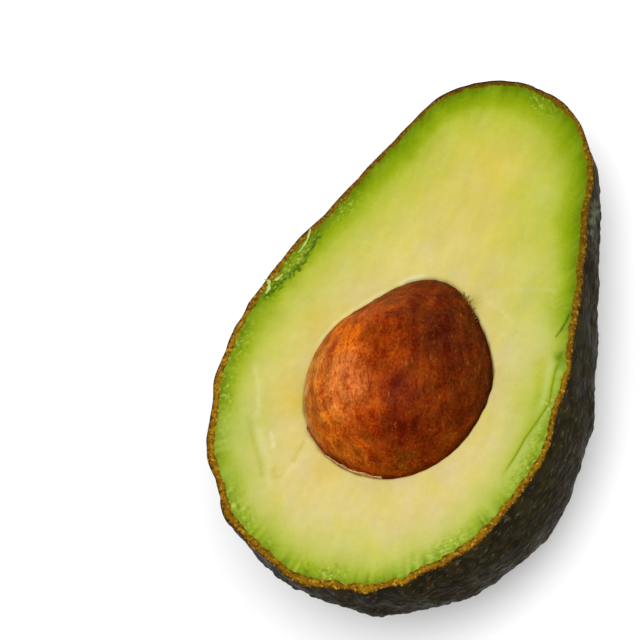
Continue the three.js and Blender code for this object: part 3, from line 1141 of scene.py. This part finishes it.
def rind_material():
    """Dark olive with painted shade in the creases between pebbles, lengthwise streaks of painted shade and
    painted sheen, freckles and the worn marks.
    """
    look = Shader("rind", Specular_IOR_Level=0.01)
    place = look.place()
    tops = look.kept("pebble_top")
    tint = look.ramp(look.noise(place, 9, 3), RIND_SHADES)
    # painted shade: darker away from the pebbles' tops
    crease_shaded = look.mix(look.step(tops, 0.05, 0.55, 0.6, 0.0), tint, (18, 13, 8))
    streak = look.noise(look.stretched(place, (1, 0.35, 1)), 0.8, 4, 0.65)
    # painted shade and painted sheen: dark and pale lengthwise streaks
    streak_shaded = look.mix(look.step(streak, 0.56, 0.74, 0.0, 0.6), crease_shaded, (12, 9, 5))
    streak_sheen = look.mix(look.step(streak, 0.45, 0.3, 0.0, 0.7), streak_shaded, (98, 88, 62))
    broken = look.step(look.noise(place, 0.9, 3, 0.7), 0.4, 0.55, 0.2, 0.8)
    scarred = look.mix(look.math("MULTIPLY", look.kept("scar"), broken), streak_sheen, (104, 114, 84))
    freckles = look.spots(place, 0.55, 0.74, 0.82, 0.8, detail=1)
    look.set("Base Color", look.mix(freckles, scarred, (140, 116, 72)))
    look.set("Roughness", look.step(look.noise(place, 2.2, 3), 0.3, 0.7, 0.3, 0.5))
    look.bump(streak, 0.3, 0.9)
    return look.material


def band_material():
    """Cut rind: near black outside, golden brown inside, with gold and pale specks that are partly painted
    glints, and dark specks and dashes along the flesh.
    """
    look = Shader("rind_cut", Roughness=0.5, Specular_IOR_Level=0.05)
    place = look.place()
    share = look.kept("band_share")
    wander = look.math("MULTIPLY", look.math("SUBTRACT", look.noise(place, 0.8, 3), 0.5), 0.8)
    depth = look.math("ADD", share, wander, clamp=True)
    band = look.ramp(depth, BAND_SHADES)
    dark = look.kept("band_dark")
    darker = look.mix(dark, band, (78, 62, 0))
    patchy = look.mix(look.spots(place, 2.4, 0.4, 0.65, 0.55), darker, (98, 62, 4))
    speckled = look.mix(look.spots(place, 0.9, 0.5, 0.66, 0.75, roughness=0.6), patchy, (62, 34, 3))
    # gold and pale specks: partly the rind's colour, partly painted glints
    gold_and_glints = look.spots(place, 0.7, 0.52, 0.68, roughness=0.6)
    gold_and_glints = look.math("MULTIPLY", gold_and_glints, look.step(dark, 1.0, 0.1, 0.2, 0.8))
    golden_and_glinting = look.mix(gold_and_glints, speckled, (212, 160, 36))
    pale_specks_and_glints = look.spots(place, 0.32, 0.64, 0.74, 0.5, detail=2, roughness=0.6)
    bright = look.mix(pale_specks_and_glints, golden_and_glinting, (228, 190, 90))
    dashes = look.spots(place, 1.0, 0.46, 0.56, detail=2)
    dashes = look.math("MULTIPLY", dashes, look.step(share, 0.55, 0.95))
    dashes = look.math("MULTIPLY", dashes, look.step(dark, 0.5, 0.2, 0.15, 0.75))
    look.set("Base Color", look.mix(dashes, bright, (66, 44, 2)))
    look.bump(look.noise(place, 0.35, 3), 0.15, 0.7)
    return look.material


def flesh_material():
    """The kept colours with fine grain, and fine flecks where the flesh is torn: painted highlights and
    painted shade.
    """
    look = Shader("flesh", Roughness=0.45, Specular_IOR_Level=0.04)
    place = look.place()
    tint = look.kept("tint", "Color")
    grain = look.noise(place, 0.5, 3, 0.6)
    darker = look.mix(look.step(grain, 0.5, 0.75, 0.0, 0.07), tint, (110, 128, 10))
    lighter = look.mix(look.step(grain, 0.5, 0.25, 0.0, 0.08), darker, (236, 236, 90))
    fine = look.noise(place, 0.5, 3, 0.7)
    torn = look.kept("torn")
    # fine flecks where torn: bright ones painted highlight, dark ones painted shade
    bright = look.math("MULTIPLY", look.step(fine, 0.57, 0.68, 0.0, 0.65), torn)
    dark = look.math("MULTIPLY", look.step(fine, 0.45, 0.36, 0.0, 0.5), torn)
    flecked = look.mix(bright, look.mix(dark, lighter, (76, 112, 0)), (206, 218, 104))
    look.set("Base Color", flecked)
    look.set("Subsurface Weight", 0.1)
    look.set("Subsurface Radius", (1.0, 0.9, 0.35))
    look.set("Subsurface Scale", MM)
    look.bump(look.noise(look.stretched(place, (1, 0.5, 1)), 0.6, 4), 0.06, 0.5)
    return look.material


def pit_material():
    """The kept colours with red-brown veins and fine pale lines along the streaks."""
    look = Shader("seed_coat", Specular_IOR_Level=0.02)
    place = look.place()
    along = look.turned(place, STREAK_TURN)
    veins = look.noise(look.stretched(along, (1, 0.28, 1)), 1.9, 4, 0.65, 0.5)
    grain = look.noise(look.stretched(along, (1, 0.6, 1)), 0.42, 3, 0.65)
    mottle = look.math("ADD", look.math("MULTIPLY", veins, 0.9), look.math("MULTIPLY", grain, 0.9))
    uneven = look.math("MAXIMUM", look.math("SUBTRACT", mottle, 0.9), -0.17)
    tint = look.shifted(look.kept("tint", "Color"), uneven, VEIN_TINT)
    lines = look.noise(look.stretched(along, (1, 0.2, 1)), 0.34, 2, 0.5)
    pale = look.math("MULTIPLY", look.step(lines, 0.6, 0.72, 0.0, 0.3), look.step(veins, 0.4, 0.6))
    look.set("Base Color", look.mix(pale, tint, (214, 124, 56)))
    look.set("Roughness", look.step(look.noise(place, 1.1, 2), 0.3, 0.7, 0.38, 0.55))
    look.bump(look.math("ADD", veins, grain), 0.05, 0.6)
    return look.material


def plain_material(name, colour, other, size):
    """Two colours that change with noise of one size."""
    look = Shader(name, Roughness=0.5, Specular_IOR_Level=0.15)
    share = look.spots(look.place(), size, 0.35, 0.65)
    look.set("Base Color", look.mix(share, colour, other))
    return look.material


# Camera, floor and light

CAMERA_NEAR = 0.01  # metres
FLOOR_HALF = 1.5  # metres
FLOOR_DROP = 0.05  # millimetres under the part, so that the two don't meet
FLOOR_GREY = 0.9
FLOOR_GLOW = 0.06
WORLD_STRENGTH = 0.42

# Suns: direction in the photograph's right, up and towards-the-camera axes, angle in degrees, strength
SUNS = {
    "key": ((-0.12, 0.16, 1), 26, 2.0),
    "side": ((0.2, 0.26, 1), 30, 0.85),
}


def add_camera():
    camera = add_object("camera", bpy.data.cameras.new("camera"))
    axes = TO_PART @ np.stack([CAMERA_RIGHT, CAMERA_UP, CAMERA_BACK], -1)
    matrix = Matrix(axes.tolist()).to_4x4()
    matrix.translation = Vector(place(CAMERA))
    camera.matrix_world = matrix
    camera.data.lens = PIXELS_PER_MM * VIEW_DISTANCE * SENSOR / FRAME_PIXELS
    camera.data.sensor_width = SENSOR
    camera.data.clip_start = CAMERA_NEAR
    bpy.context.scene.camera = camera


def add_floor():
    mesh = bpy.data.meshes.new("floor")
    corners = [(x * FLOOR_HALF, y * FLOOR_HALF) for x, y in ((-1, -1), (1, -1), (1, 1), (-1, 1))]
    mesh.from_pydata([(x, y, -FLOOR_DROP * MM) for x, y in corners], [], [(0, 1, 2, 3)])
    look = Shader("floor", Roughness=0.9, Specular_IOR_Level=0.1)
    look.set("Base Color", (FLOOR_GREY, FLOOR_GREY, FLOOR_GREY, 1))
    look.set("Emission Color", (1, 1, 1, 1))
    look.set("Emission Strength", FLOOR_GLOW)
    mesh.materials.append(look.material)
    floor = add_object("floor", mesh)


def add_sun(name, direction, angle, strength):
    data = bpy.data.lights.new(name, "SUN")
    data.angle = math.radians(angle)
    data.energy = strength
    lamp = add_object(name, data)
    towards = unit(np.array(direction) @ np.stack([VIEW_RIGHT, VIEW_UP, VIEW_TOWARDS]))
    lamp.rotation_euler = Vector(TO_PART @ towards).to_track_quat("Z", "Y").to_euler()


def add_world():
    world = bpy.data.worlds.new("studio")
    world.use_nodes = True
    background = world.node_tree.nodes["Background"]
    background.inputs["Color"].default_value = (1, 1, 1, 1)
    background.inputs["Strength"].default_value = WORLD_STRENGTH
    bpy.context.scene.world = world


add_camera()
add_floor()
add_world()
for name, (direction, angle, strength) in SUNS.items():
    add_sun(name, direction, angle, strength)
bpy.context.scene.view_settings.view_transform = "Standard"

build_skin([rind_material(), band_material()])
build_flesh([flesh_material()])
build_pit([pit_material()])
build_seed_coat([plain_material("coat_edge", (236, 200, 142), (190, 130, 66), 0.9)])
build_fibres([plain_material("fibre", (158, 122, 44), (92, 66, 18), 1.0)])
build_curls([plain_material("curl", (206, 218, 128), (176, 196, 84), 1.2)])
